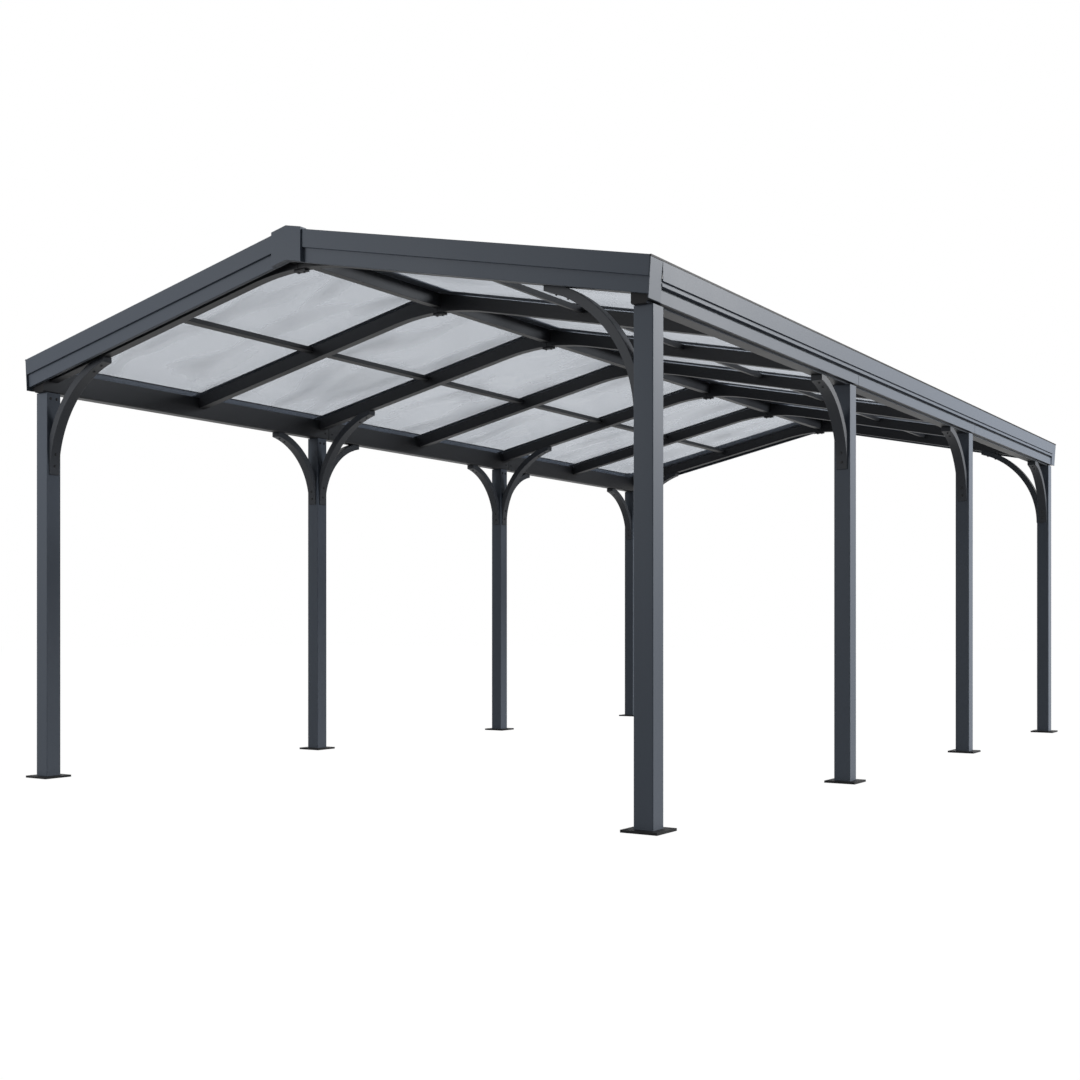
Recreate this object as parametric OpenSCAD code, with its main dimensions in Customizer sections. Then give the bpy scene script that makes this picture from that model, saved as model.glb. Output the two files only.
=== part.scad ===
// Open-sided carport: two rows of posts, curved braces and a low gable roof of clear sheets.
// X runs across, Y runs along the sides with the front gable at -Y, and Z is up.
// The origin lies on the ground in the middle of the plan.

/* [Frame] */
// Distance across between the two post rows, centre to centre
span = 3350; // [2600:10:4600]
// Distance along a side between neighbouring posts, centre to centre
bay = 1930; // [1400:10:2600]
// Height of the post tops, where the eave beams sit
post_top = 1880; // [1600:10:2600]
// Slope of the roof in degrees
roof_pitch = 12; // [8:0.5:18]

/* [Posts] */
// Side of the square post tube
post_w = 80; // [64:1:110]
// Wall of the post tube
post_wall = 3; // [2:0.5:6]
// Width of the base plate that shows on each side of the post
plate_margin = 35; // [26:1:60]
// Thickness of the base plate
plate_t = 10; // [6:1:16]
// Diameter of the anchor holes in the base plate
plate_hole_d = 12; // [8:1:16]

/* [Eaves] */
// Height of the eave beam's inner web
beam_h = 110; // [90:1:140]
// Thickness of the eave beam's inner web
beam_web = 28; // [20:1:36]
// Bevel along the lower inner edge of the eave beam
beam_bevel = 6; // [4:1:20]
// Set-back of the eave beam's underside from the outer face of the posts
beam_setback = 15; // [8:1:24]
// Height of the shadow gap between the post tops and the outer band
band_lift = 8; // [6:1:30]
// Height of the outer band of the eave beam
band_h = 47; // [30:1:60]
// Distance from the outer face of the posts to the outer band
band_out = 5; // [2:1:10]
// Width of the gap at a joint in the eave beam
beam_gap = 2; // [1:0.5:5]
// Distance from the face of a post to the joint in the eave beam
beam_joint_past = 20; // [10:1:60]
// Distance from the outer face of the posts to the gutter
gutter_out = 19; // [14:1:40]
// Height of the gutter's outer wall
gutter_h = 105; // [90:1:130]
// Wall of the gutter
gutter_wall = 3; // [2:0.5:5]
// Depth of the groove under the gutter's bead, behind the outer band
gutter_groove = 6; // [3:1:10]
// Height of the groove under the gutter's bead
gutter_groove_h = 10; // [6:1:14]
// Height of the bead along the gutter's foot
bead_h = 12; // [8:1:16]
// Set-back of the bead behind the gutter's outer wall
bead_in = 3; // [1:0.5:6]
// Height of the slot between the bead and the outer wall
slot_h = 7; // [4:1:10]
// Depth of the slot behind the bead
slot_d = 5; // [3:1:6]
// Distance from the gutter's inner rim to the top of the eave beam
gutter_rim_drop = 12; // [8:1:20]

/* [Roof frame] */
// Depth of a rafter, square to the slope
rafter_h = 62; // [50:1:110]
// Width of a rafter
rafter_w = 48; // [32:1:70]
// Distance from the ridge over which the underside of a rafter curves
haunch_reach = 270; // [150:5:450]
// Gap between the two halves of a rafter at the ridge
rafter_gap = 2; // [1:0.5:5]
// Length of the splice plate under each ridge joint
splice_l = 64; // [40:2:120]
// Thickness of the splice plate
splice_t = 10; // [5:1:16]
// Width of the splice plate
splice_w = 30; // [20:1:30]
// Depth of the ridge beam
ridge_h = 70; // [40:1:80]
// Width of the ridge beam
ridge_w = 40; // [30:1:80]
// Depth of a purlin, square to the slope
purlin_h = 24; // [18:1:50]
// Width of a purlin
purlin_w = 32; // [22:1:60]

/* [Roof covering] */
// Thickness of the roof sheets
sheet_t = 10; // [6:1:16]
// Gap between neighbouring roof sheets
sheet_gap = 6; // [3:1:12]
// Distance that the sheets reach past the eave beam's web, over the gutter
sheet_drip = 20; // [10:1:24]
// Width of the cover strips over the joints between sheets
strip_w = 50; // [36:1:80]
// Thickness of the cover strips
strip_t = 6; // [3:1:10]
// Reach of the ridge cap down each slope
ridge_cap_reach = 95; // [60:1:150]
// Thickness of the ridge cap
ridge_cap_t = 5; // [3:1:8]

/* [Gable ends] */
// Distance from the front face of the posts to the face of the fascia
fascia_out = 50; // [40:1:90]
// Depth of the upper band of the fascia, measured upright
fascia_upper_h = 76; // [50:1:90]
// Depth of the lower band of the fascia, measured upright
fascia_lower_h = 61; // [40:1:80]
// Thickness of the fascia at its upper band
fascia_t = 30; // [24:1:36]
// Set-back of the lower band behind the upper band
fascia_step = 12; // [6:1:16]
// Half width of the apex cap
apex_cap_reach = 83; // [60:1:140]
// Thickness of the apex cap
apex_cap_t = 8; // [4:1:12]
// Length of a corner cap along the eave
corner_cap_l = 90; // [70:1:160]
// Thickness of a corner cap
corner_cap_t = 4; // [2:0.5:8]

/* [Braces] */
// Distance from the post top down to the lower end of the braces
brace_drop = 400; // [320:5:520]
// Reach of a brace under the eave beam, from the face of the post
eave_brace_reach = 317; // [250:1:400]
// Reach of a brace under a rafter, from the face of the post
rafter_brace_reach = 393; // [320:1:460]
// Thickness of a brace between its two curves
brace_t = 36; // [24:1:45]
// Thickness of a brace at its lower end
brace_toe = 6; // [3:1:16]
// Thickness of a brace at its upper end
brace_end = 26; // [16:1:40]
// Width of a brace
brace_w = 54; // [36:1:64]
// Clearance between a brace and what it is bolted under
brace_gap = 0.2; // [0:0.1:0.5]

/* [Hidden] */

// Colours of the finishes
slate = [0.27, 0.30, 0.34];
graphite = [0.16, 0.17, 0.18];
black = [0.08, 0.08, 0.09];
frosted = [0.76, 0.78, 0.81];

// Smoothness of the anchor holes
bore_fn = 48;
// Number of straight steps in the curve under a ridge joint, and in the bend of a brace
haunch_steps = 10;
brace_steps = 24;
// Overrun of cuts
over = 1;

// Layout along the sides: four posts, with a rafter at each post and at each mid-bay
left = -1;
right = 1;
front = -1;
back = 1;
post_count = 4;
rafter_count = 2 * post_count - 1;
row_l = (post_count - 1) * bay;
half_bay = bay / 2;
function post_y(i) = i * bay - row_l / 2;
function rafter_y(k) = k * half_bay - row_l / 2;
// Posts that carry a brace to their rafter
rafter_braces_on_left = [0, 1, 2, 3];
rafter_braces_on_right = [0, 3];
// Posts that carry a brace along the eave, each with the side that the brace is on
eave_braces_on_left = [[1, front], [1, back], [2, front], [2, back], [3, front]];
eave_braces_on_right = [[1, front], [2, front], [3, front]];

// Base plate
plate_w = post_w + 2 * plate_margin;
plate_hole_pitch = post_w + plate_margin;

// Heights at the eave
band_z = post_top + band_lift;
shelf_z = band_z + band_h;
gutter_z = shelf_z + gutter_h;
beam_z = post_top + beam_h;

// Distances of the eave's faces from the middle plane
inner_x = span / 2 - post_w / 2;
outer_x = span / 2 + post_w / 2;
seat_x = inner_x + beam_web;
band_x = outer_x + band_out;
gutter_x = outer_x + gutter_out;
drip_x = seat_x + sheet_drip;

// The roof plane is the underside of the sheets, resting on the top outer edge of the eave beam's web
slope = tan(roof_pitch);
upright = 1 / cos(roof_pitch);
function roof_z(x) = beam_z + (seat_x - x) * slope;
rafter_v = rafter_h * upright;
purlin_x = inner_x / 2;

// Curve under the ridge joint, tangent to the undersides of both rafter halves
haunch_r = haunch_reach / sin(roof_pitch);
haunch_centre_z = roof_z(haunch_reach) - rafter_v - haunch_r * cos(roof_pitch);
// The curve starts at the gap between the halves
haunch_start = asin(rafter_gap / 2 / haunch_r);
function haunch_point(a) = [haunch_r * sin(a), haunch_centre_z + haunch_r * cos(a)];

// Gable ends, measured from the middle of the plan to the front
post_face_y = row_l / 2 + post_w / 2;
fascia_y = post_face_y + fascia_out;
fascia_back_y = fascia_y - fascia_t;
cap_end_y = fascia_y - corner_cap_l;
fascia_h = fascia_upper_h + fascia_lower_h;
function fascia_z(x) = gutter_z + (gutter_x - x) * slope;
// The gable's ends lean in from the gutter's rim to the outer band, along the corner caps
cap_lean = (gutter_x - band_x - corner_cap_t) / (gutter_z - band_z);
function end_x(drop) = gutter_x - corner_cap_t - drop * cap_lean;

// Heights of the braces, from their lower ends to their seats at the full reach
brace_z = post_top - brace_drop;
eave_brace_rise = brace_drop - brace_gap;
rafter_brace_rise = roof_z(inner_x - rafter_brace_reach) - rafter_v - brace_gap - brace_z;

// Turns a shape drawn for the right-hand side to the wanted side
module on_side(side) {
    mirror([side == left ? 1 : 0, 0, 0]) children();
}

// Turns a shape drawn for the front, or for the front of a post, to the wanted end
module at_end(end) {
    mirror([0, end == back ? 1 : 0, 0]) children();
}

// Pulls an outline drawn across the carport along Y, from y0 to y1
module along(y0, y1) {
    translate([0, y1, 0]) rotate([90, 0, 0]) linear_extrude(y1 - y0) children();
}

module post(side, i) {
    color(slate)
    translate([side * span / 2, post_y(i), plate_t])
    linear_extrude(post_top - plate_t)
    difference() {
        square(post_w, center = true);
        square(post_w - 2 * post_wall, center = true);
    }
}

module base_plate() {
    difference() {
        translate([-plate_w / 2, -plate_w / 2, 0]) cube([plate_w, plate_w, plate_t]);
        for (sx = [-1, 1], sy = [-1, 1])
            translate([sx * plate_hole_pitch / 2, sy * plate_hole_pitch / 2, -over])
            cylinder(d = plate_hole_d, h = plate_t + 2 * over, $fn = bore_fn);
    }
}

module base_plates(side) {
    color(black)
    for (i = [0 : post_count - 1])
        translate([side * span / 2, post_y(i), 0]) base_plate();
}

module eave_profile() {
    polygon([
        [inner_x, post_top + beam_bevel], [inner_x + beam_bevel, post_top],
        [outer_x - beam_setback, post_top], [outer_x - beam_setback, band_z],
        [band_x, band_z], [band_x, shelf_z], [seat_x, shelf_z], [seat_x, beam_z], [inner_x, beam_z]
    ]);
}

// The eave beam comes in one length for each bay, joined just past the middle posts
module eave_beam(side) {
    past = post_w / 2 + beam_joint_past;
    joints = [for (i = [1 : post_count - 2]) post_y(i) + past];
    starts = concat([-fascia_back_y], [for (y = joints) y + beam_gap / 2]);
    ends = concat([for (y = joints) y - beam_gap / 2], [fascia_back_y]);
    color(graphite)
    on_side(side)
    for (i = [0 : len(starts) - 1])
        along(starts[i], ends[i]) eave_profile();
}

module gutter_profile() {
    foot_x = band_x - gutter_groove;
    bead_x = gutter_x - bead_in;
    slot_x = bead_x - slot_d;
    bead_z = shelf_z + gutter_groove_h;
    slot_z = bead_z + bead_h;
    wall_z = slot_z + slot_h;
    ledge_z = wall_z + gutter_wall;
    rim_z = beam_z - gutter_rim_drop;
    polygon([
        [seat_x, shelf_z], [foot_x, shelf_z], [foot_x, bead_z], [bead_x, bead_z], [bead_x, slot_z],
        [slot_x, slot_z], [slot_x, wall_z], [gutter_x, wall_z], [gutter_x, gutter_z],
        [gutter_x - gutter_wall, gutter_z], [gutter_x - gutter_wall, ledge_z],
        [foot_x - gutter_wall, ledge_z], [foot_x - gutter_wall, shelf_z + gutter_wall],
        [seat_x + gutter_wall, shelf_z + gutter_wall], [seat_x + gutter_wall, rim_z], [seat_x, rim_z]
    ]);
}

module gutter(side) {
    color(slate)
    on_side(side)
    along(-cap_end_y, cap_end_y) gutter_profile();
}

// A corner cap closes the gutter's end and covers the end of the fascia
module corner_cap() {
    inner_edge = drip_x + corner_cap_t;
    along(-fascia_back_y, -cap_end_y)
    polygon([
        [band_x, band_z], [band_x + corner_cap_t, band_z], [gutter_x, gutter_z],
        [inner_edge, gutter_z], [inner_edge, shelf_z], [band_x, shelf_z]
    ]);
    along(-fascia_y, -fascia_back_y)
    polygon([
        [band_x, band_z], [band_x + corner_cap_t, band_z],
        [gutter_x, gutter_z], [gutter_x - corner_cap_t, gutter_z]
    ]);
}

module corner_caps(end) {
    color(slate)
    at_end(end)
    for (side = [left, right])
        on_side(side) corner_cap();
}

module rafter_profile() {
    start_x = rafter_gap / 2;
    polygon(concat(
        [[start_x, roof_z(start_x)], [inner_x, roof_z(inner_x)], [inner_x, roof_z(inner_x) - rafter_v]],
        [for (i = [haunch_steps : -1 : 0])
            haunch_point(haunch_start + (roof_pitch - haunch_start) * i / haunch_steps)]
    ));
}

module rafter(k) {
    color(graphite)
    for (side = [left, right])
        on_side(side)
        along(rafter_y(k) - rafter_w / 2, rafter_y(k) + rafter_w / 2) rafter_profile();
}

// A splice plate touches the curve under the joint with the edges of its two ends
module ridge_splices() {
    top_z = haunch_point(asin(splice_l / 2 / haunch_r))[1];
    color(graphite)
    for (k = [0 : rafter_count - 1])
        translate([-splice_l / 2, rafter_y(k) - splice_w / 2, top_z - splice_t])
        cube([splice_l, splice_w, splice_t]);
}

// Lengths between the rafters, and short ones from the outer rafters to the fascias
module between_rafters() {
    faces = [for (k = [0 : rafter_count - 1]) rafter_y(k)];
    starts = concat([-fascia_back_y], [for (y = faces) y + rafter_w / 2]);
    ends = concat([for (y = faces) y - rafter_w / 2], [fascia_back_y]);
    for (i = [0 : len(starts) - 1])
        along(starts[i], ends[i]) children();
}

module ridge_beam() {
    color(graphite)
    between_rafters()
    polygon([
        [0, roof_z(0)], [ridge_w / 2, roof_z(ridge_w / 2)], [ridge_w / 2, roof_z(0) - ridge_h],
        [-ridge_w / 2, roof_z(0) - ridge_h], [-ridge_w / 2, roof_z(ridge_w / 2)]
    ]);
}

module purlin(side) {
    color(graphite)
    on_side(side)
    between_rafters()
    translate([purlin_x, roof_z(purlin_x)])
    rotate(-roof_pitch)
    translate([-purlin_w / 2, -purlin_h]) square([purlin_w, purlin_h]);
}

// A layer that lies on the roof plane, lift above it and t thick, from x0 out to x1
module roof_layer(x0, x1, lift, t) {
    low = lift * upright;
    high = (lift + t) * upright;
    polygon([
        [x0, roof_z(x0) + low], [x1, roof_z(x1) + low], [x1, roof_z(x1) + high], [x0, roof_z(x0) + high]
    ]);
}

module roof_sheets(side) {
    joints = [for (k = [1 : rafter_count - 2]) rafter_y(k)];
    starts = concat([-fascia_back_y], [for (y = joints) y + sheet_gap / 2]);
    ends = concat([for (y = joints) y - sheet_gap / 2], [fascia_back_y]);
    color(frosted)
    on_side(side)
    for (i = [0 : len(starts) - 1])
        along(starts[i], ends[i]) roof_layer(sheet_gap / 2, drip_x, 0, sheet_t);
}

module cover_strips(side) {
    color(slate)
    on_side(side)
    for (k = [0 : rafter_count - 1])
        along(rafter_y(k) - strip_w / 2, rafter_y(k) + strip_w / 2)
        roof_layer(ridge_cap_reach, drip_x, sheet_t, strip_t);
}

module ridge_cap() {
    reach = ridge_cap_reach;
    low = sheet_t * upright;
    high = (sheet_t + ridge_cap_t) * upright;
    color(slate)
    along(-fascia_back_y, fascia_back_y)
    polygon([
        [-reach, roof_z(reach) + low], [0, roof_z(0) + low], [reach, roof_z(reach) + low],
        [reach, roof_z(reach) + high], [0, roof_z(0) + high], [-reach, roof_z(reach) + high]
    ]);
}

// A band of the fascia between two depths under its top edge
module fascia_band(top, bottom) {
    polygon([
        [0, fascia_z(0) - top], [end_x(top), fascia_z(end_x(top)) - top],
        [end_x(bottom), fascia_z(end_x(bottom)) - bottom], [0, fascia_z(0) - bottom]
    ]);
}

module fascia(end, side) {
    color(slate)
    at_end(end)
    on_side(side) {
        along(-fascia_y, -fascia_back_y) fascia_band(0, fascia_upper_h);
        along(-fascia_y + fascia_step, -fascia_back_y) fascia_band(fascia_upper_h, fascia_h);
    }
}

// Part of the apex cap between two depths under the fascia's top edge
module apex_band(top, bottom) {
    edge = apex_cap_reach;
    polygon([
        [-edge, fascia_z(edge) - top], [0, fascia_z(0) - top], [edge, fascia_z(edge) - top],
        [edge, fascia_z(edge) - bottom], [0, fascia_z(0) - bottom], [-edge, fascia_z(edge) - bottom]
    ]);
}

module apex_cap(end) {
    front_y = -fascia_y - apex_cap_t;
    color(slate)
    at_end(end) {
        along(front_y, -fascia_y) apex_band(-apex_cap_t, fascia_h);
        along(-fascia_y, -fascia_y + fascia_step) apex_band(fascia_upper_h, fascia_h);
        along(-fascia_y, -fascia_back_y) apex_band(-apex_cap_t, 0);
    }
}

// A brace lies between two arcs with one centre, and is cut off by the face of the post and by its seat.
// The inner arc leaves the lower end upright and meets the upper end at the full reach.
function brace_r(reach, rise) =
    let(x = reach - brace_toe, z = rise - brace_end) (x * x + z * z) / (2 * x);
function arc_point(centre_x, r, a) = [centre_x - r * cos(a), r * sin(a)];

module brace(reach, rise, tilt) {
    inner_r = brace_r(reach, rise);
    outer_r = inner_r + brace_t;
    centre_x = brace_toe + inner_r;
    first = acos(centre_x / outer_r);
    last = asin((rise + (centre_x - reach) * tan(tilt)) * cos(tilt) / outer_r) - tilt;
    tip = acos((centre_x - reach) / inner_r);
    rotate([90, 0, 0])
    translate([0, 0, -brace_w / 2])
    linear_extrude(brace_w)
    polygon(concat(
        [[0, 0]],
        [for (i = [0 : brace_steps]) arc_point(centre_x, outer_r, first + (last - first) * i / brace_steps)],
        [[reach, rise]],
        [for (i = [brace_steps : -1 : 0]) arc_point(centre_x, inner_r, tip * i / brace_steps)]
    ));
}

module rafter_braces(side, places) {
    color(graphite)
    on_side(side)
    for (i = places)
        translate([inner_x, post_y(i), brace_z])
        rotate(180) brace(rafter_brace_reach, rafter_brace_rise, roof_pitch);
}

module eave_braces(side, places) {
    color(graphite)
    on_side(side)
    for (p = places)
        translate([span / 2, post_y(p[0]), brace_z])
        at_end(p[1])
        translate([0, -post_w / 2, 0]) rotate(-90) brace(eave_brace_reach, eave_brace_rise, 0);
}

post(left, 0);  // post_left_1
post(left, 1);  // post_left_2
post(left, 2);  // post_left_3
post(left, 3);  // post_left_4
post(right, 0);  // post_right_1
post(right, 1);  // post_right_2
post(right, 2);  // post_right_3
post(right, 3);  // post_right_4
base_plates(left);  // base_plates_left
base_plates(right);  // base_plates_right
eave_beam(left);  // eave_beam_left
eave_beam(right);  // eave_beam_right
gutter(left);  // gutter_left
gutter(right);  // gutter_right
corner_caps(front);  // corner_caps_front
corner_caps(back);  // corner_caps_back
rafter(0);  // rafter_1
rafter(1);  // rafter_2
rafter(2);  // rafter_3
rafter(3);  // rafter_4
rafter(4);  // rafter_5
rafter(5);  // rafter_6
rafter(6);  // rafter_7
ridge_splices();
ridge_beam();
purlin(left);  // purlin_left
purlin(right);  // purlin_right
roof_sheets(left);  // roof_sheets_left
roof_sheets(right);  // roof_sheets_right
cover_strips(left);  // cover_strips_left
cover_strips(right);  // cover_strips_right
ridge_cap();
fascia(front, left);  // fascia_front_left
fascia(front, right);  // fascia_front_right
fascia(back, left);  // fascia_back_left
fascia(back, right);  // fascia_back_right
apex_cap(front);  // apex_cap_front
apex_cap(back);  // apex_cap_back
rafter_braces(left, rafter_braces_on_left);  // rafter_braces_left
rafter_braces(right, rafter_braces_on_right);  // rafter_braces_right
eave_braces(left, eave_braces_on_left);  // eave_braces_left
eave_braces(right, eave_braces_on_right);  // eave_braces_right
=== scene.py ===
import math

import bmesh
import bpy
from bpy.props import FloatProperty, FloatVectorProperty, PointerProperty
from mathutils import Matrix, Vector


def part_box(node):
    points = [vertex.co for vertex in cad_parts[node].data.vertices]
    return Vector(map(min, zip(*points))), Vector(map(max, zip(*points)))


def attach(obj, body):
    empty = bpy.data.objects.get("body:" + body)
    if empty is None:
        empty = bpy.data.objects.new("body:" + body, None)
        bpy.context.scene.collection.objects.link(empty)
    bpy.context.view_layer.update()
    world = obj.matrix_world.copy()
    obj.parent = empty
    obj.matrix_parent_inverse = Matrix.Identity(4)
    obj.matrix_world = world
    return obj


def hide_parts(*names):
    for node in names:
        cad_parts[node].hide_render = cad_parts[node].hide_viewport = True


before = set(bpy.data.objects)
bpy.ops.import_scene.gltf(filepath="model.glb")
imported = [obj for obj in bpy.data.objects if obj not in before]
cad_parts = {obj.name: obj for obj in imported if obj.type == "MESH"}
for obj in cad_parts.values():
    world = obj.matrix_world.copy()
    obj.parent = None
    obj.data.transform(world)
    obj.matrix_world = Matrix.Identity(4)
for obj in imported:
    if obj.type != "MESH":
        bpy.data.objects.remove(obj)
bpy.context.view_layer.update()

bl_info = {
    "name": "Carport looks",
    "version": (1, 0, 0),
    "blender": (4, 5, 0),
    "location": "View3D > Sidebar > Carport",
    "description": "Finishes, edges, screws, seals and stage for the carport frame",
    "category": "Object",
}

BODY = "root"

# Limits for reading flat faces and sharp edges off the CAD meshes.
MERGE_DISTANCE = 1e-6
FLAT_ANGLE = math.radians(0.4)
SHARP_ANGLE = math.radians(30)
# How near a direction has to come to an axis to count as lying along it.
UPRIGHT = 0.9
# How near an edge has to be to a butt joint to count as lying in it.
JOINT_GAP = 1e-4

# How the rounded copies are made and shaded.
CREASE_ANGLE = math.radians(60)
EDGE_SEGMENTS = 2
CORNER_SEGMENTS = 3
SMALL_WEIGHT = 0.2
FACE_WEIGHT = 100

SIDES = ("left", "right")
ENDS = ("front", "back")
BRACE_KINDS = ("rafter", "eave")
POST_NUMBERS = range(1, 5)
RAFTER_NUMBERS = range(1, 8)
POSTS = [f"post_{side}_{number}" for side in SIDES for number in POST_NUMBERS]
RAFTERS = [f"rafter_{number}" for number in RAFTER_NUMBERS]
UP = Vector((0, 0, 1))
WHITE = (1.0, 1.0, 1.0, 1.0)


def length(name, description, default):
    """A size in metres that the user may change."""
    return FloatProperty(name=name, description=description, default=default, min=0.0,
                         precision=4, subtype="DISTANCE", unit="LENGTH")


def colour(name, description, default):
    """A colour, in linear light, that the user may change."""
    return FloatVectorProperty(name=name, description=description, default=default, size=3,
                               min=0.0, max=1.0, subtype="COLOR")


def share(name, description, default):
    """A number from 0 to 1 that the user may change."""
    return FloatProperty(name=name, description=description, default=default, min=0.0, max=1.0,
                         subtype="FACTOR")


class CarportSizes(bpy.types.PropertyGroup):
    """Sizes of what the looks add to the frame."""

    post_round: length("Post corners", "Corner radius of the post tubes", 0.004)
    plate_round: length("Plate corners", "Corner radius of the base plates", 0.006)
    profile_round: length("Profile edges", "Edge radius of beams, rafters and boards", 0.0016)
    thin_round: length("Thin edges", "Edge radius of gutters, caps, strips and sheets", 0.001)
    brace_round: length("Brace edges", "Edge radius of the braces", 0.002)
    screw_head: length("Screw head", "Radius of a screw's head to its corners", 0.0052)
    screw_height: length("Screw height", "Height of a screw's head", 0.0036)
    washer_radius: length("Washer", "Radius of the washer under a screw", 0.0078)
    washer_height: length("Washer height", "Thickness of the washer under a screw", 0.0012)
    strip_pitch: length("Strip screws", "Distance between screws on a cover strip", 0.36)
    cap_pitch: length("Ridge screws", "Distance between screws on the ridge cap", 0.4825)
    row_inset: length("Row ends", "Distance from a strip's end to its last screw", 0.05)
    seal_radius: length("Seals", "Radius of the rubber seal along a cover strip", 0.0024)
    trim_lip: length("Trim lip", "How far the edge trim reaches over a sheet", 0.017)
    trim_wall: length("Trim wall", "Wall of the edge trim on a sheet", 0.0012)
    edging_height: length("Edging", "How far the edging reaches down a gutter's rim", 0.006)
    edging_width: length("Edging width", "How far the edging reaches over a gutter's rim", 0.0042)
    edging_wall: length("Edging wall", "Wall of the edging on a gutter's rim", 0.0012)
    bracket_drop: length("Post screws", "Height of the screws below a post's top", 0.028)
    joint_reach: length("Joint screws", "Distance of the screws from a beam's joint", 0.03)


class CarportFinishes(bpy.types.PropertyGroup):
    """Colours and surface values of the materials."""

    slate: colour("Slate", "Powder coat of posts, gutters and boards", (0.098, 0.114, 0.141))
    # Painted shade: the slate coat made darker for the roof frame and the eave beams' inner faces,
    # which lie in shade.
    shaded_slate: colour("Graphite", "Powder coat of the roof frame", (0.024, 0.025, 0.028))
    # Painted shade: the slate coat made darker for the braces, which mostly lie in shade.
    shaded_brace_slate: colour("Dark slate", "Powder coat of the braces", (0.035, 0.039, 0.047))
    # On the eave beams' end faces this black is painted shadow.
    plate: colour("Plate", "Black coat of base plates, edgings and beam ends", (0.010, 0.010, 0.011))
    sheet: colour("Sheet", "Tint of the frosted sheets", (0.60, 0.64, 0.72))
    through: colour("Through", "Tint of what shows through the sheets", (0.945, 0.968, 1.0))
    rubber: colour("Rubber", "Seals along the cover strips", (0.012, 0.012, 0.012))
    steel: colour("Steel", "Blackened steel of the screws", (0.022, 0.023, 0.026))
    coat_roughness: share("Coat roughness", "Roughness of the powder coats", 0.48)
    sheet_roughness: share("Sheet roughness", "Roughness of the sheets' faces", 0.28)
    sheet_cover: share("Sheet cover", "How much each face of a sheet hides", 0.305)
    grain: FloatProperty(name="Grain", description="Grains of the powder coat per metre",
                         default=700.0, min=1.0)
    flute: length("Flutes", "Width of one flute in the sheets", 0.0105)


class CarportStage(bpy.types.PropertyGroup):
    """Camera, floor and lights."""

    place: FloatVectorProperty(name="Camera", description="Where the camera stands", size=3,
                               default=(4.0735, -7.2567, 0.7232), subtype="TRANSLATION",
                               unit="LENGTH")
    heading: FloatProperty(name="Heading", description="Turn of the level camera to the left",
                           default=math.radians(33.285), subtype="ANGLE", unit="ROTATION")
    lens: FloatProperty(name="Lens", description="Focal length", default=46.19,
                        subtype="DISTANCE_CAMERA", unit="CAMERA")
    shift: FloatProperty(name="Shift", description="Rise of the picture", default=0.0831)
    floor: length("Floor", "Half the width of the floor", 40.0)
    floor_drop: length("Floor gap", "How far the floor lies under the plates", 0.0005)
    ambient: share("Ambient", "Light from all round on what isn't shiny", 0.20)
    ambient_tint: colour("Ambient tint", "Colour of the light from all round", (0.86, 0.95, 1.0))
    key_power: FloatProperty(name="Key light", description="Power of the light on the right",
                             default=960.0, min=0.0, subtype="POWER", unit="POWER")
    fill_power: FloatProperty(name="Fill light", description="Power of the light at the front",
                              default=96.0, min=0.0, subtype="POWER", unit="POWER")


class Wire:
    """A socket of a node tree. Sums, differences and products of wires add Math nodes."""

    def __init__(self, tree, socket=None):
        self.tree = tree
        self.socket = socket

    def add(self, kind, settings=None, feeds=None, out=0):
        """Adds any node: its settings first, then its sockets. Gives back one of its outputs."""
        node = self.tree.nodes.new(kind)
        for name, value in (settings or {}).items():
            setattr(node, name, value)
        for key, value in (feeds or {}).items():
            if isinstance(value, Wire):
                self.tree.links.new(value.socket, node.inputs[key])
            else:
                node.inputs[key].default_value = value
        return Wire(self.tree, node.outputs[out] if len(node.outputs) else None)

    def math(self, operation, first, second):
        return self.add("ShaderNodeMath", {"operation": operation}, {0: first, 1: second})

    def __add__(self, other):
        return self.math("ADD", self, other)

    def __radd__(self, other):
        return self.math("ADD", other, self)

    def __sub__(self, other):
        return self.math("SUBTRACT", self, other)

    def __mul__(self, other):
        return self.math("MULTIPLY", self, other)


def sizes():
    return bpy.context.scene.carport_sizes


def finishes():
    return bpy.context.scene.carport_finishes


def toned(tint, factor=1.0):
    """A colour made lighter or darker, with the alpha that a colour socket wants."""
    return tuple(min(1.0, part * factor) for part in tint) + (1.0,)


def mixed(wire, factor, first, second):
    """A colour between two colours."""
    return wire.add("ShaderNodeMix", {"data_type": "RGBA"}, {0: factor, 6: first, 7: second}, out=2)


def noise(wire, place, scale, detail):
    return wire.add("ShaderNodeTexNoise", None, {"Vector": place, "Scale": scale, "Detail": detail})


def material(name, build):
    """The material of that name, made by build on a bare tree the first time it is asked for."""
    made = bpy.data.materials.get(name)
    if made is None:
        made = bpy.data.materials.new(name)
        made.use_nodes = True
        made.node_tree.nodes.clear()
        wire = Wire(made.node_tree)
        wire.add("ShaderNodeOutputMaterial", None, {"Surface": build(wire)})
    return made


# The middle of a noise, where it changes nothing.
MIDDLE = 0.5

# The coats: clouds and grain in their colour, their gloss and their bump.
COAT_CLOUDS = 1.7
COAT_CLOUD_DETAIL = 4.0
GRAIN_DETAIL = 2.0
COAT_SPREAD = 0.14
CLOUD_SHARE = 0.6
CLOUD_GLOSS = 0.16
GRAIN_GLOSS = 0.1
GRAIN_BUMP = 0.22
GRAIN_DEPTH = 0.0004


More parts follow.
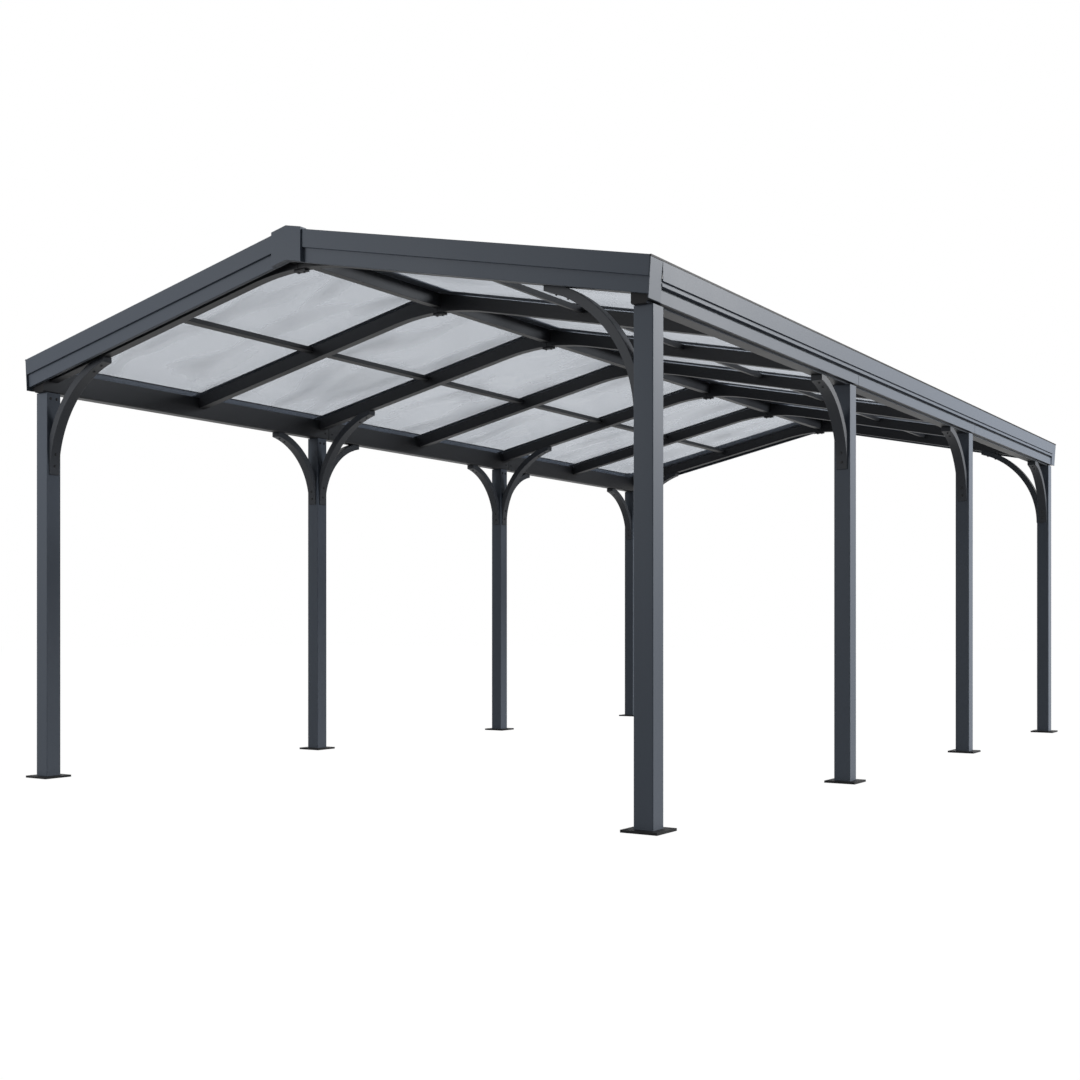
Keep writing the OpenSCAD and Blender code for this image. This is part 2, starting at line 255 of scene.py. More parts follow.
def coated(tint, roughness, specular, metallic=0.0):
    """Builder of a fine-grained coat: clouded colour, uneven gloss and a speckled bump."""

    def build(wire):
        place = wire.add("ShaderNodeTexCoord", out="Object")
        grain = noise(wire, place, finishes().grain, GRAIN_DETAIL)
        cloud = noise(wire, place, COAT_CLOUDS, COAT_CLOUD_DETAIL)
        blend = cloud * CLOUD_SHARE + grain * (1 - CLOUD_SHARE)
        skin = mixed(wire, blend, toned(tint, 1 - COAT_SPREAD), toned(tint, 1 + COAT_SPREAD))
        gloss = roughness + (cloud - MIDDLE) * CLOUD_GLOSS + (grain - MIDDLE) * GRAIN_GLOSS
        bump = wire.add("ShaderNodeBump", None,
                        {"Strength": GRAIN_BUMP, "Distance": GRAIN_DEPTH, "Height": grain})
        return wire.add("ShaderNodeBsdfPrincipled", None,
                        {"Base Color": skin, "Roughness": gloss, "Normal": bump,
                         "Metallic": metallic, "Specular IOR Level": specular})

    return build


# The sheets: clouds, flutes and streaks in their colour, their cover and their gloss; the streaks
# are painted reflections.
SHEET_CLOUDS = 2.2
SHEET_CLOUD_DETAIL = 3.0
SHEET_SPREAD = 0.06
CLOUD_TONE = 0.8
FLUTE_TONE = 0.1
STREAK_STRETCH = (0.9, 2.4, 0.9)
STREAK_SCALE = 1.6
STREAK_DETAIL = 1.0
STREAK_CURL = 0.6
STREAK_RANGE = (0.50, 0.78)
REFLECTION_COVER = 0.14
CLOUD_COVER = 0.02
SHEET_GLOSS = 0.06
SHEET_SPECULAR = 0.2
FLUTE_BUMP = 0.015
FLUTE_DEPTH = 0.0003


def frosted(tint, through, roughness, cover, flute):
    """Builder of the sheet: a milky plastic, half clear, with flutes down the slope and darker
    streaks of painted reflection.
    """

    def build(wire):
        place = wire.add("ShaderNodeTexCoord", out="Object")
        along = wire.add("ShaderNodeSeparateXYZ", None, {"Vector": place}, out="Y")
        turn = along * (2 * math.pi / flute)
        rib = wire.add("ShaderNodeMath", {"operation": "SINE"}, {0: turn})
        cloud = noise(wire, place, SHEET_CLOUDS, SHEET_CLOUD_DETAIL)
        blend = cloud * CLOUD_TONE + rib * FLUTE_TONE + FLUTE_TONE
        tone = mixed(wire, blend, toned(tint, 1 - SHEET_SPREAD), toned(tint, 1 + SHEET_SPREAD))
        stretch = wire.add("ShaderNodeMapping", None, {"Vector": place, "Scale": STREAK_STRETCH})
        drift = wire.add("ShaderNodeTexNoise", None,
                         {"Vector": stretch, "Scale": STREAK_SCALE, "Detail": STREAK_DETAIL,
                          "Distortion": STREAK_CURL})
        # Painted reflection: streaks where the sheet hides more of the white behind it and looks
        # darker from below.
        reflection_streak = wire.add("ShaderNodeMapRange", None,
                          {"Value": drift, "From Min": STREAK_RANGE[0], "From Max": STREAK_RANGE[1]})
        veil = cover + reflection_streak * REFLECTION_COVER + (cloud - MIDDLE) * CLOUD_COVER
        gloss = roughness + (cloud - MIDDLE) * SHEET_GLOSS
        bump = wire.add("ShaderNodeBump", None,
                        {"Strength": FLUTE_BUMP, "Distance": FLUTE_DEPTH, "Height": rib})
        milk = wire.add("ShaderNodeBsdfPrincipled", None,
                        {"Base Color": tone, "Roughness": gloss, "Normal": bump,
                         "Specular IOR Level": SHEET_SPECULAR})
        clear = wire.add("ShaderNodeBsdfTransparent", None, {"Color": toned(through)})
        return wire.add("ShaderNodeMixShader", None, {0: veil, 1: clear, 2: milk})

    return build


def slate():
    look = finishes()
    return material("slate_coat", coated(look.slate, look.coat_roughness, specular=0.18))


# The slate coat made darker, as painted shade on the parts under the roof.
def shaded_slate():
    look = finishes()
    return material("graphite_coat", coated(look.shaded_slate, look.coat_roughness, specular=0.22))


# The slate coat made darker, as painted shade on the braces.
def shaded_brace_slate():
    look = finishes()
    return material("dark_slate_coat",
                    coated(look.shaded_brace_slate, look.coat_roughness, specular=0.25))


def plate_black():
    return material("black_coat", coated(finishes().plate, roughness=0.55, specular=0.15))


def sheet():
    look = finishes()
    return material("frosted_sheet", frosted(look.sheet, look.through, look.sheet_roughness,
                                             look.sheet_cover, look.flute))


def rubber():
    return material("seal_rubber", coated(finishes().rubber, roughness=0.7, specular=0.2))


def steel():
    return material("black_steel",
                    coated(finishes().steel, roughness=0.5, specular=0.3, metallic=0.2))


def show(name, mesh, stands_for=()):
    """Puts a finished mesh into the scene as a piece that rides on the frame."""
    piece = bpy.data.objects.new(name, mesh)
    bpy.context.scene.collection.objects.link(piece)
    if stands_for:
        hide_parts(*stands_for)
    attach(piece, BODY)
    return piece


def baked(name, mesh, dress):
    """The plain mesh of an object after the modifier that dress puts on it."""
    rough = bpy.data.objects.new(name + ".rough", mesh)
    bpy.context.scene.collection.objects.link(rough)
    dress(rough)
    graph = bpy.context.evaluated_depsgraph_get()
    done = bpy.data.meshes.new_from_object(rough.evaluated_get(graph))
    done.name = name
    bpy.data.objects.remove(rough)
    bpy.data.meshes.remove(mesh)
    return done


def merged(node):
    """A CAD node's mesh as one bmesh, with its triangles joined to flat faces."""
    form = bmesh.new()
    form.from_mesh(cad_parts[node].data)
    bmesh.ops.remove_doubles(form, verts=form.verts, dist=MERGE_DISTANCE)
    bmesh.ops.dissolve_limit(form, angle_limit=FLAT_ANGLE, verts=form.verts, edges=form.edges)
    return form


def upright(edge):
    first, second = (corner.co for corner in edge.verts)
    return abs((second - first).normalized().z) > UPRIGHT


def every_edge(edge):
    return 1.0


def tube_corners(edge):
    return 1.0 if upright(edge) else 0.0


def plate_corners(edge):
    return 1.0 if upright(edge) else SMALL_WEIGHT


def away_from(place):
    """Weighs the edges that lie in a butt joint, at that distance from the middle, as nothing."""

    def weigh(edge):
        first, second = (corner.co.y for corner in edge.verts)
        across = abs(first - second) < JOINT_GAP
        return 0.0 if across and abs(abs(first) - place) < JOINT_GAP else 1.0

    return weigh


def rounded(node, finish, radius, weigh=every_edge, segments=EDGE_SEGMENTS, others=()):
    """A copy of a CAD node with rounded edges, which stands for it.

    others may give further finishes, each with the test for the faces that take it.
    """
    form = merged(node)
    layer = form.edges.layers.float.new("bevel_weight_edge")
    for edge in form.edges:
        if edge.calc_face_angle(0.0) > SHARP_ANGLE:
            edge[layer] = weigh(edge)
    for face in form.faces:
        face.smooth = True
        face.material_index = 0
    mesh = bpy.data.meshes.new(node + ".sharp")
    form.to_mesh(mesh)
    form.free()

    def round_edges(rough):
        bevel = rough.modifiers.new("Rounded edges", "BEVEL")
        bevel.width = radius
        bevel.segments = segments
        bevel.limit_method = "WEIGHT"

    def flatten_shading(rough):
        even = rough.modifiers.new("Flat faces", "WEIGHTED_NORMAL")
        even.weight = FACE_WEIGHT
        even.keep_sharp = True

    done = baked(node + ".round", mesh, round_edges)
    done.set_sharp_from_angle(angle=CREASE_ANGLE)
    done = baked(node + "_finished", done, flatten_shading)
    done.materials.clear()
    done.materials.append(finish)
    for index, (other, takes) in enumerate(others, 1):
        done.materials.append(other)
        for face in done.polygons:
            if takes(face):
                face.material_index = index
    return show(node + "_finished", done, (node,))


def profiled(name, lengths, finish):
    """A piece of closed lengths of a profile, each given as its outline's points at both ends."""
    form = bmesh.new()
    for outlines in lengths:
        start, end = ([form.verts.new(place) for place in outline] for outline in outlines)
        for step in range(len(start)):
            after = (step + 1) % len(start)
            form.faces.new((start[step], start[after], end[after], end[step]))
        form.faces.new(start[::-1])
        form.faces.new(end)
    bmesh.ops.recalc_face_normals(form, faces=form.faces)
    mesh = bpy.data.meshes.new(name)
    form.to_mesh(mesh)
    form.free()
    mesh.materials.append(finish)
    return show(name, mesh)


class Pad:
    """A flat face of a CAD node: its middle, its outward normal and its two directions."""

    def __init__(self, face):
        longest = max(face.edges, key=lambda edge: edge.calc_length())
        ends = [corner.co for corner in longest.verts]
        self.middle = face.calc_center_median()
        self.normal = face.normal.copy()
        self.along = (ends[1] - ends[0]).normalized()
        self.across = self.normal.cross(self.along)
        self.length = self.reach(face, self.along)
        self.width = self.reach(face, self.across)
        self.area = face.calc_area()

    def reach(self, face, direction):
        marks = [corner.co.dot(direction) for corner in face.verts]
        return max(marks) - min(marks)

    def spot(self, along, across=0.0):
        return self.middle + self.along * along + self.across * across


def pads(node, keep):
    """The flat faces of a CAD node that keep accepts."""
    form = merged(node)
    form.normal_update()
    found = [pad for pad in map(Pad, form.faces) if keep(pad)]
    form.free()
    if not found:
        raise RuntimeError(f"no face of {node} takes what is fixed to it")
    return found


def socket_keys(tree):
    """The identifiers of a tree's inputs by their names."""
    return {item.name: item.identifier for item in tree.interface.items_tree
            if item.item_type == "SOCKET" and item.in_out == "INPUT"}


def new_tree(name, inputs):
    """A Geometry Nodes tree with a geometry input, the named inputs and a geometry output."""
    tree = bpy.data.node_groups.new(name, "GeometryNodeTree")
    tree.interface.new_socket("Geometry", in_out="INPUT", socket_type="NodeSocketGeometry")
    for label, kind in inputs:
        tree.interface.new_socket(label, in_out="INPUT", socket_type=kind)
    tree.interface.new_socket("Geometry", in_out="OUTPUT", socket_type="NodeSocketGeometry")
    source = tree.nodes.new("NodeGroupInput")
    wire = Wire(tree)
    return wire, {socket.name: Wire(tree, socket) for socket in source.outputs if socket.name}


def close_tree(wire, shape, finish):
    """Ends a tree in plain geometry with its material."""
    plain = wire.add("GeometryNodeRealizeInstances", None, {"Geometry": shape})
    done = wire.add("GeometryNodeSetMaterial", None, {"Geometry": plain, "Material": finish})
    wire.add("NodeGroupOutput", None, {"Geometry": done})
    return wire.tree


SCREW_INPUTS = (
    ("Head radius", "NodeSocketFloat"),
    ("Head height", "NodeSocketFloat"),
    ("Washer radius", "NodeSocketFloat"),
    ("Washer height", "NodeSocketFloat"),
    ("Material", "NodeSocketMaterial"),
)
ROW_INPUTS = SCREW_INPUTS + (("Spacing", "NodeSocketFloat"),)
WASHER_SIDES = 16
HEAD_SIDES = 6
HEAD_TAPER = 0.86
FACING = "facing"


def lifted(wire, shape, height):
    """A shape of the screw moved up its own axis."""
    shift = wire.add("ShaderNodeCombineXYZ", None, {"Z": height})
    return wire.add("GeometryNodeTransform", None, {"Geometry": shape, "Translation": shift})


def screw_tree(in_rows):
    """Puts a hexagon-headed screw with a washer on each point, or along each line at a spacing."""
    name, inputs = ("Screw rows", ROW_INPUTS) if in_rows else ("Screws", SCREW_INPUTS)
    if name in bpy.data.node_groups:
        return bpy.data.node_groups[name]
    wire, given = new_tree(name, inputs)
    points = given["Geometry"]
    if in_rows:
        line = wire.add("GeometryNodeMeshToCurve", None, {"Mesh": points})
        points = wire.add("GeometryNodeResampleCurve", {"mode": "LENGTH"},
                          {"Curve": line, "Length": given["Spacing"]})
    washer = wire.add("GeometryNodeMeshCone", None,
                      {"Vertices": WASHER_SIDES, "Radius Top": given["Washer radius"] * HEAD_TAPER,
                       "Radius Bottom": given["Washer radius"], "Depth": given["Washer height"]})
    head = wire.add("GeometryNodeMeshCone", None,
                    {"Vertices": HEAD_SIDES, "Radius Top": given["Head radius"] * HEAD_TAPER,
                     "Radius Bottom": given["Head radius"], "Depth": given["Head height"]})
    parts = wire.tree.nodes.new("GeometryNodeJoinGeometry")
    for part in (washer, lifted(wire, head, given["Washer height"])):
        wire.tree.links.new(part.socket, parts.inputs[0])
    facing = wire.add("GeometryNodeInputNamedAttribute", {"data_type": "FLOAT_VECTOR"},
                      {"Name": FACING})
    turn = wire.add("FunctionNodeAlignRotationToVector", {"axis": "Z"}, {"Vector": facing})
    placed = wire.add("GeometryNodeInstanceOnPoints", None,
                      {"Points": points, "Instance": Wire(wire.tree, parts.outputs[0]),
                       "Rotation": turn})
    return close_tree(wire, placed, given["Material"])


SEAL_INPUTS = (("Radius", "NodeSocketFloat"), ("Material", "NodeSocketMaterial"))
SEAL_SIDES = 8


def seal_tree():
    """Runs a round rubber seal along each line."""
    wire, given = new_tree("Seals", SEAL_INPUTS)
    line = wire.add("GeometryNodeMeshToCurve", None, {"Mesh": given["Geometry"]})
    ring = wire.add("GeometryNodeCurvePrimitiveCircle", None,
                    {"Resolution": SEAL_SIDES, "Radius": given["Radius"]})
    cord = wire.add("GeometryNodeCurveToMesh", None,
                    {"Curve": line, "Profile Curve": ring, "Fill Caps": True})
    return close_tree(wire, cord, given["Material"])


def grown(name, lines, facings, tree, values):
    """The plain mesh that a tree grows from points or lines, each with the way it faces."""
    corners = [corner for line in lines for corner in line]
    edges = []
    first = 0
    for line in lines:
        edges += [(first + step, first + step + 1) for step in range(len(line) - 1)]
        first += len(line)
    mesh = bpy.data.meshes.new(name + ".start")
    mesh.from_pydata(corners, edges, [])
    attribute = mesh.attributes.new(FACING, "FLOAT_VECTOR", "POINT")
    ways = [way for line, way in zip(lines, facings) for corner in line]
    attribute.data.foreach_set("vector", [part for way in ways for part in way])

    def dress(rough):
        grow = rough.modifiers.new(tree.name, "NODES")
        grow.node_group = tree
        keys = socket_keys(tree)
        for label, value in values.items():
            grow[keys[label]] = value

    return baked(name, mesh, dress)


def screw_values():
    size = sizes()
    return {"Head radius": size.screw_head, "Head height": size.screw_height,
            "Washer radius": size.washer_radius, "Washer height": size.washer_height,
            "Material": steel()}


def screws(name, spots):
    """Single screws, each given as a place and the way its head faces."""
    lines = [[place] for place, facing in spots]
    facings = [facing for place, facing in spots]
    mesh = grown(name, lines, facings, screw_tree(False), screw_values())
    return show(name, mesh)


def screw_rows(name, rows, spacing):
    """Rows of screws, each given as its two ends and the way the heads face."""
    lines = [[start, end] for start, end, facing in rows]
    facings = [facing for start, end, facing in rows]
    values = screw_values() | {"Spacing": spacing}
    mesh = grown(name, lines, facings, screw_tree(True), values)
    return show(name, mesh)


def inward(side):
    """Which way along X is towards the middle of the carport."""
    return 1.0 if side == "left" else -1.0


class CARPORT_OT_posts(bpy.types.Operator):
    """Rounds the corners of the eight post tubes and coats them"""

    bl_idname = "carport.posts"
    bl_label = "Posts"

    def execute(self, context):
        for node in POSTS:
            rounded(node, slate(), sizes().post_round, tube_corners, CORNER_SEGMENTS)
        return {"FINISHED"}


class CARPORT_OT_base_plates(bpy.types.Operator):
    """Rounds the base plates and coats them black"""

    bl_idname = "carport.base_plates"
    bl_label = "Base plates"

    def execute(self, context):
        for side in SIDES:
            rounded(f"base_plates_{side}", plate_black(), sizes().plate_round,
                    plate_corners, CORNER_SEGMENTS)
        return {"FINISHED"}


class CARPORT_OT_eave_beams(bpy.types.Operator):
    """Rounds the eave beams and coats them slate outside, with painted shade inside and black
    painted shadow on their ends
    """

    bl_idname = "carport.eave_beams"
    bl_label = "Eave beams"

    # How far a face has to look outwards to keep the slate coat instead of the painted shade.
    OUTWARD = 0.3

    def execute(self, context):
        for side in SIDES:
            way = inward(side)
            # Painted shade: the faces that do not look outwards take the darker coat.
            coats = ((shaded_slate(), lambda face: face.normal.x * way > -self.OUTWARD),
                     # Painted shadow: the end faces take black.
                     (plate_black(), lambda face: abs(face.normal.y) > UPRIGHT))
            rounded(f"eave_beam_{side}", slate(), sizes().profile_round, others=coats)
        return {"FINISHED"}


class CARPORT_OT_gutters(bpy.types.Operator):
    """Rounds and coats the gutters and the corner caps on their ends, and edges their rims"""

    bl_idname = "carport.gutters"
    bl_label = "Gutters and corner caps"

    def execute(self, context):
        nodes = [f"gutter_{side}" for side in SIDES] + [f"corner_caps_{end}" for end in ENDS]
        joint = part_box("gutter_left")[1][1]
        for node in nodes:
            rounded(node, slate(), sizes().thin_round, away_from(joint))
        for side in SIDES:
            self.edging(side)
        return {"FINISHED"}

    def edging(self, side):
        """A dark edging over the outer rim of a gutter and its caps."""
        size = sizes()
        low, high = map(Vector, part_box(f"gutter_{side}"))
        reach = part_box("corner_caps_back")[1][1]
        out = -inward(side)
        rim = high.x if out > 0 else low.x
        inner, outer = rim - out * size.edging_width, rim + out * size.edging_wall
        foot, top = high.z - size.edging_height, high.z + size.edging_wall
        outline = ((inner, foot), (outer, foot), (outer, top), (inner, top))
        ends = [[(x, along, z) for x, z in outline] for along in (-reach, reach)]
        profiled(f"rim_edging_{side}", [ends], plate_black())


class CARPORT_OT_rafters(bpy.types.Operator):
    """Rounds the rafters, their splices, the ridge beam and the purlins, and coats them in the
    darker slate of painted shade
    """

    bl_idname = "carport.rafters"
    bl_label = "Rafters, ridge and purlins"

    def execute(self, context):
        rest = ["ridge_splices", "ridge_beam"] + [f"purlin_{side}" for side in SIDES]
        for node in RAFTERS + rest:
            # Painted shade: the roof frame takes the darker copy of the slate coat.
            rounded(node, shaded_slate(), sizes().profile_round)
        return {"FINISHED"}


class CARPORT_OT_roof_sheets(bpy.types.Operator):
    """Makes the frosted sheets and the trims along their lower edges"""

    bl_idname = "carport.roof_sheets"
    bl_label = "Roof sheets"

    def execute(self, context):
        for side in SIDES:
            node = f"roof_sheets_{side}"
            rounded(node, sheet(), sizes().thin_round)
            outward = -inward(side)
            edges = pads(node, lambda pad: pad.normal.x * outward > UPRIGHT)
            self.trims(f"sheet_trims_{side}", edges)
        return {"FINISHED"}

    def trims(self, name, edges):
        """A channel over the lower edge of each sheet."""
        lip, wall = sizes().trim_lip, sizes().trim_wall
        channels = []
        for pad in edges:
            half = pad.width / 2
            outline = ((-lip, half), (0, half), (0, -half), (-lip, -half),
                       (-lip, -half - wall), (wall, -half - wall), (wall, half + wall),
                       (-lip, half + wall))
            channels.append([[pad.spot(end, across) + pad.normal * out for out, across in outline]
                             for end in (-pad.length / 2, pad.length / 2)])
        profiled(name, channels, slate())


class CARPORT_OT_cover_strips(bpy.types.Operator):
    """Makes the cover strips and the ridge cap, with their rubber seals and rows of screws"""

    bl_idname = "carport.cover_strips"
    bl_label = "Cover strips and ridge cap"

    def execute(self, context):
        size = sizes()
        tree = seal_tree()
        for side in SIDES:
            node = f"cover_strips_{side}"
            rounded(node, slate(), size.thin_round)
            tops = pads(node, lambda pad: pad.normal.z > UPRIGHT)
            rows = [self.row(pad, pad.length / 2 - size.row_inset) for pad in tops]
            screw_rows(f"strip_screws_{side}", rows, size.strip_pitch)
            lines = []
            for pad in pads(node, lambda pad: pad.normal.z < -UPRIGHT):
                half = pad.length / 2
                lift = pad.normal * -size.seal_radius
                for away in (-1, 1):
                    across = away * (pad.width / 2 + size.seal_radius)
                    lines.append([pad.spot(-half, across) + lift, pad.spot(half, across) + lift])
            facings = [UP] * len(lines)
            seals = grown(f"strip_seals_{side}", lines, facings, tree,
                          {"Radius": size.seal_radius, "Material": rubber()})
            show(f"strip_seals_{side}", seals)
        rounded("ridge_cap", slate(), size.thin_round)
        tops = pads("ridge_cap", lambda pad: pad.normal.z > UPRIGHT)
        rows = [self.row(pad, pad.length / 2 - size.row_inset) for pad in tops]
        screw_rows("ridge_screws", rows, size.cap_pitch)
        return {"FINISHED"}

    def row(self, pad, reach):
        return pad.spot(-reach), pad.spot(reach), pad.normal


class CARPORT_OT_gable_ends(bpy.types.Operator):
    """Rounds and coats the fascias and the caps over their joints"""

    bl_idname = "carport.gable_ends"
    bl_label = "Gable ends"

    def execute(self, context):
        for end in ENDS:
            for side in SIDES:
                rounded(f"fascia_{end}_{side}", slate(), sizes().profile_round)
            rounded(f"apex_cap_{end}", slate(), sizes().thin_round)
        return {"FINISHED"}


class CARPORT_OT_braces(bpy.types.Operator):
    """Rounds the curved braces and coats them in the darker slate of painted shade"""

    bl_idname = "carport.braces"
    bl_label = "Braces"

    def execute(self, context):
        for kind in BRACE_KINDS:
            for side in SIDES:
                # Painted shade: the braces take the darker copy of the slate coat.
                rounded(f"{kind}_braces_{side}", shaded_brace_slate(), sizes().brace_round)
        return {"FINISHED"}


class CARPORT_OT_screws(bpy.types.Operator):
    """Adds the screws of the braces, the ridge splices, the post tops and the beam joints"""

    bl_idname = "carport.screws"
    bl_label = "Screws"

    # The facets along the inside of a brace's curve have about this area.
    FACET = (0.0008, 0.0022)
    # The facets that carry a screw, counted from a brace's foot and from its top.
    SCREWED = (1, 3, -4, -2)
    # How far such a facet has to look down.
    DOWNWARD = 1e-6
    # Where the screws sit, as shares of the face that carries them.
    SPLICE_SHARES = (-0.25, 0.25)
    POST_SHARES = (0.28, 0.72)
    JOINT_SHARES = (-0.22, 0.22)
    # How near two places have to lie to count as level, and how wide a beam's full face is.
    LEVEL_GAP = 0.001
    FULL_SHARE = 0.9

    def execute(self, context):
        for kind in BRACE_KINDS:
            for side in SIDES:
                spots = self.brace_ends(f"{kind}_braces_{side}", side)
                screws(f"{kind}_brace_screws_{side}", spots)
        splices = pads("ridge_splices", lambda pad: pad.normal.z < -UPRIGHT)
        screws("splice_screws", self.pairs(splices))
        screws("post_screws", self.post_tops())
        for side in SIDES:
            screws(f"joint_screws_{side}", self.joints(side))
        return {"FINISHED"}

    def pairs(self, plates):
        """Two screws on each plate, at its quarter points."""
        return [(pad.spot(part * pad.length), pad.normal)
                for pad in plates for part in self.SPLICE_SHARES]

    def brace_ends(self, node, side):
        """Two screws near each end of every brace, on the inside of its curve."""
        posts = {number: self.axis(f"post_{side}_{number}") for number in POST_NUMBERS}
        curves = {}
        for pad in pads(node, self.inner_facet):
            post = min(posts, key=lambda number: (pad.middle.xy - posts[number]).length)
            way = pad.normal.xy.normalized()
            curve = (post, round(way.x), round(way.y))
            curves.setdefault(curve, []).append(pad)
        spots = []
        for facets in curves.values():
            facets.sort(key=lambda pad: pad.middle.z)
            spots += [(facets[step].middle, facets[step].normal) for step in self.SCREWED]
        return spots

    def inner_facet(self, pad):
        """True for a facet on the inside of a brace's curve, which looks down."""
        return pad.normal.z < -self.DOWNWARD and self.FACET[0] < pad.area < self.FACET[1]

    def axis(self, post):
        low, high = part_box(post)
        return ((Vector(low) + Vector(high)) / 2).xy

    def post_tops(self):
        """Two screws under the beam on the inner face of each post."""
        spots = []
        for post in POSTS:
            low, high = map(Vector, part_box(post))
            way = inward(post.split("_")[1])
            face = high.x if way > 0 else low.x
            for part in self.POST_SHARES:
                across = low.y + (high.y - low.y) * part
                spots.append((Vector((face, across, high.z - sizes().bracket_drop)),
                              Vector((way, 0, 0))))
        return spots

    def joints(self, side):
        """Two screws on each side of each joint of an eave beam, on its inner face."""
        way = inward(side)
        faces = pads(f"eave_beam_{side}", lambda pad: pad.normal.x * way > UPRIGHT)
        inner = max(faces, key=lambda pad: pad.area)
        lengths = [pad for pad in faces if abs(pad.middle.x - inner.middle.x) < self.LEVEL_GAP
                   and pad.width > inner.width * self.FULL_SHARE]
        spots = []
        for pad in lengths:
            for end in (-1, 1):
                for part in self.JOINT_SHARES:
                    place = pad.spot(end * (pad.length / 2 - sizes().joint_reach), part * pad.width)
                    spots.append((place, pad.normal))
        reach = max(abs(place.y) for place, facing in spots)
        return [spot for spot in spots if abs(spot[0].y) < reach - self.LEVEL_GAP]


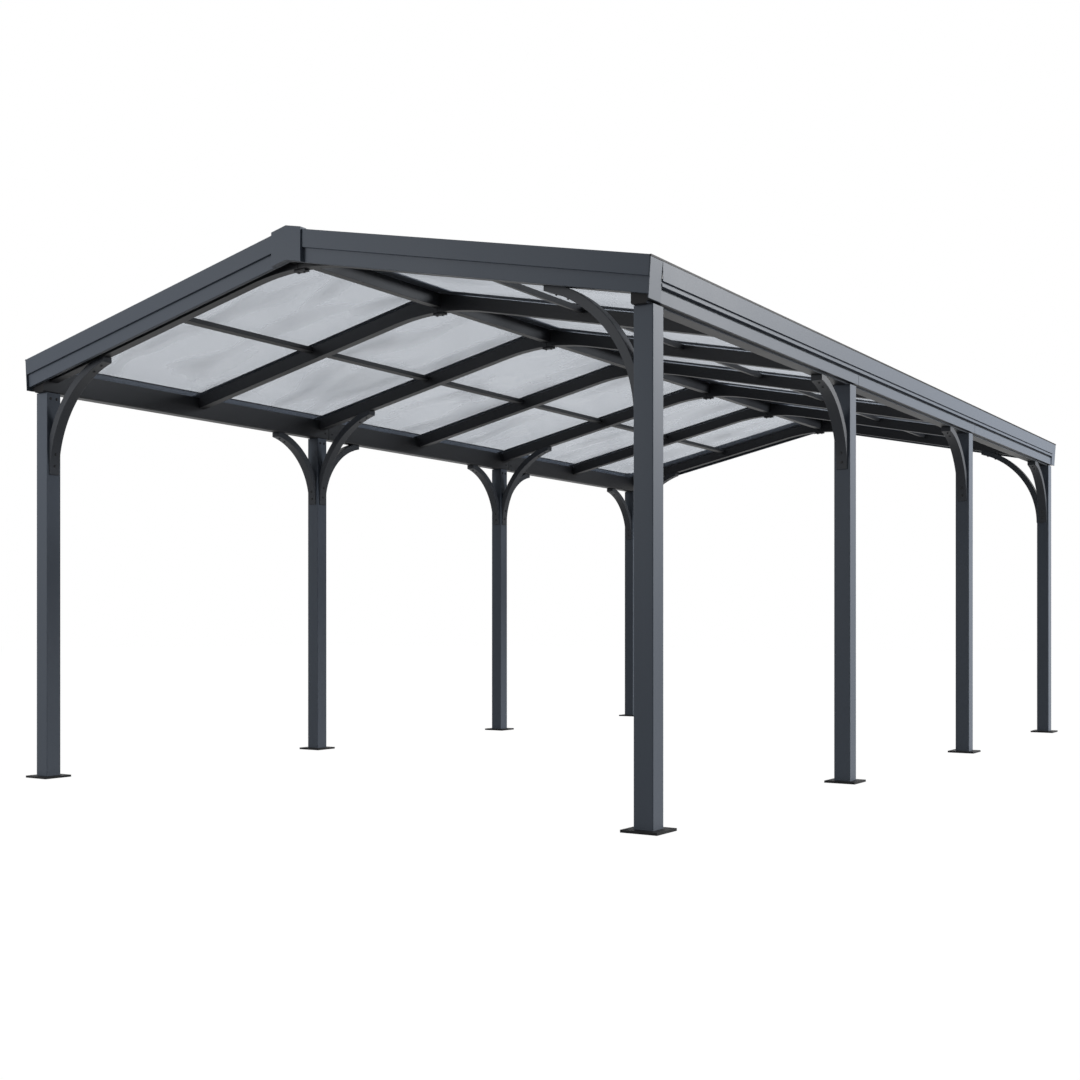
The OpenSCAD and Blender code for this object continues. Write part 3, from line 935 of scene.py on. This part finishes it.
class CARPORT_OT_stage(bpy.types.Operator):
    """Sets the floor, the white surroundings, the lights and the camera"""

    bl_idname = "carport.stage"
    bl_label = "Stage"

    # Each light's place, the point it looks at, its width and its height.
    KEY = ((7.6, 3.6, 4.6), (1.7, -0.8, 1.8), 3.6, 2.4)
    FILL = ((-2.4, -7.0, 2.6), (-0.4, -2.4, 1.4), 2.2, 1.6)
    # The floor's clouds, its two tones, and how bright and how far the camera sees it as white.
    FLOOR_CLOUDS = 0.8
    FLOOR_DETAIL = 3.0
    FLOOR_TONES = ((0.075, 0.074, 0.072, 1.0), (0.085, 0.084, 0.082, 1.0))
    FLOOR_ROUGHNESS = 0.9
    FLOOR_GLOW = 1.08
    FLOOR_GLOW_SHARE = 0.93
    # How far the camera sees, and its tilt when it looks level.
    SIGHT = 200.0
    LEVEL = math.radians(90)

    def execute(self, context):
        stage = context.scene.carport_stage
        self.floor(stage)
        self.surroundings(context.scene, stage)
        self.light("key", *self.KEY, stage.key_power)
        self.light("fill", *self.FILL, stage.fill_power)
        self.camera(context.scene, stage)
        context.scene.view_settings.view_transform = "Standard"
        return {"FINISHED"}

    def seen(self, wire):
        """1 for what the camera sees, straight, in a reflection or through a sheet."""
        ways = [wire.add("ShaderNodeLightPath", out=name)
                for name in ("Is Camera Ray", "Is Glossy Ray", "Is Transmission Ray")]
        most = wire.math("MAXIMUM", ways[0], ways[1])
        return wire.math("MAXIMUM", most, ways[2])

    def floor(self, stage):
        """A pale floor that the camera sees as white but for the shadow on it."""

        def build(wire):
            place = wire.add("ShaderNodeTexCoord", out="Object")
            cloud = noise(wire, place, self.FLOOR_CLOUDS, self.FLOOR_DETAIL)
            tone = mixed(wire, cloud, *self.FLOOR_TONES)
            cover = wire.add("ShaderNodeBsdfPrincipled", None,
                             {"Base Color": tone, "Roughness": self.FLOOR_ROUGHNESS,
                              "Specular IOR Level": 0.0})
            glow = wire.add("ShaderNodeEmission", None, {"Strength": self.FLOOR_GLOW})
            return wire.add("ShaderNodeMixShader", None,
                            {0: self.seen(wire) * self.FLOOR_GLOW_SHARE, 1: cover, 2: glow})

        reach, level = stage.floor, -stage.floor_drop
        mesh = bpy.data.meshes.new("floor")
        mesh.from_pydata([(-reach, -reach, level), (reach, -reach, level),
                          (reach, reach, level), (-reach, reach, level)], [], [(0, 1, 2, 3)])
        mesh.materials.append(material("floor", build))
        floor = bpy.data.objects.new("floor", mesh)
        bpy.context.scene.collection.objects.link(floor)

    def surroundings(self, scene, stage):
        """White to the camera, dimmer as a light."""
        world = bpy.data.worlds.new("surroundings")
        world.use_nodes = True
        world.node_tree.nodes.clear()
        wire = Wire(world.node_tree)
        dim = wire.add("ShaderNodeBackground", None,
                       {"Strength": stage.ambient, "Color": toned(stage.ambient_tint)})
        white = wire.add("ShaderNodeBackground", None,
                         {"Strength": 1.0, "Color": WHITE})
        both = wire.add("ShaderNodeMixShader", None, {0: self.seen(wire), 1: dim, 2: white})
        wire.add("ShaderNodeOutputWorld", None, {"Surface": both})
        scene.world = world

    def light(self, name, place, target, width, height, power):
        lamp = bpy.data.lights.new(name, "AREA")
        lamp.shape = "RECTANGLE"
        lamp.size, lamp.size_y = width, height
        lamp.energy = power
        holder = bpy.data.objects.new(name, lamp)
        holder.location = place
        way = Vector(target) - Vector(place)
        holder.rotation_euler = way.to_track_quat("-Z", "Y").to_euler()
        holder.visible_camera = False
        bpy.context.scene.collection.objects.link(holder)

    def camera(self, scene, stage):
        lens = bpy.data.cameras.new("camera")
        lens.lens = stage.lens
        lens.shift_y = stage.shift
        lens.clip_end = self.SIGHT
        holder = bpy.data.objects.new("camera", lens)
        holder.location = stage.place
        holder.rotation_euler = (self.LEVEL, 0.0, stage.heading)
        scene.collection.objects.link(holder)
        scene.camera = holder


GROUPS = {
    "carport_sizes": CarportSizes,
    "carport_finishes": CarportFinishes,
    "carport_stage": CarportStage,
}
STEPS = (
    CARPORT_OT_posts,
    CARPORT_OT_base_plates,
    CARPORT_OT_eave_beams,
    CARPORT_OT_gutters,
    CARPORT_OT_rafters,
    CARPORT_OT_roof_sheets,
    CARPORT_OT_cover_strips,
    CARPORT_OT_gable_ends,
    CARPORT_OT_braces,
    CARPORT_OT_screws,
    CARPORT_OT_stage,
)


class CARPORT_PT_looks(bpy.types.Panel):
    """Lists the carport's sizes, finishes and steps"""

    bl_idname = "CARPORT_PT_looks"
    bl_label = "Carport looks"
    bl_space_type = "VIEW_3D"
    bl_region_type = "UI"
    bl_category = "Carport"

    def draw(self, context):
        for group in GROUPS:
            box = self.layout.box()
            values = getattr(context.scene, group)
            for name in values.__annotations__:
                box.prop(values, name)
        for step in STEPS:
            self.layout.operator(step.bl_idname)


CLASSES = tuple(GROUPS.values()) + STEPS + (CARPORT_PT_looks,)


def register():
    for item in CLASSES:
        bpy.utils.register_class(item)
    for name, group in GROUPS.items():
        setattr(bpy.types.Scene, name, PointerProperty(type=group))


def unregister():
    for name in GROUPS:
        delattr(bpy.types.Scene, name)
    for item in reversed(CLASSES):
        bpy.utils.unregister_class(item)


def main():
    register()
    for step in STEPS:
        getattr(bpy.ops.carport, step.bl_idname.split(".")[1])()


if __name__ == "__main__":
    main()
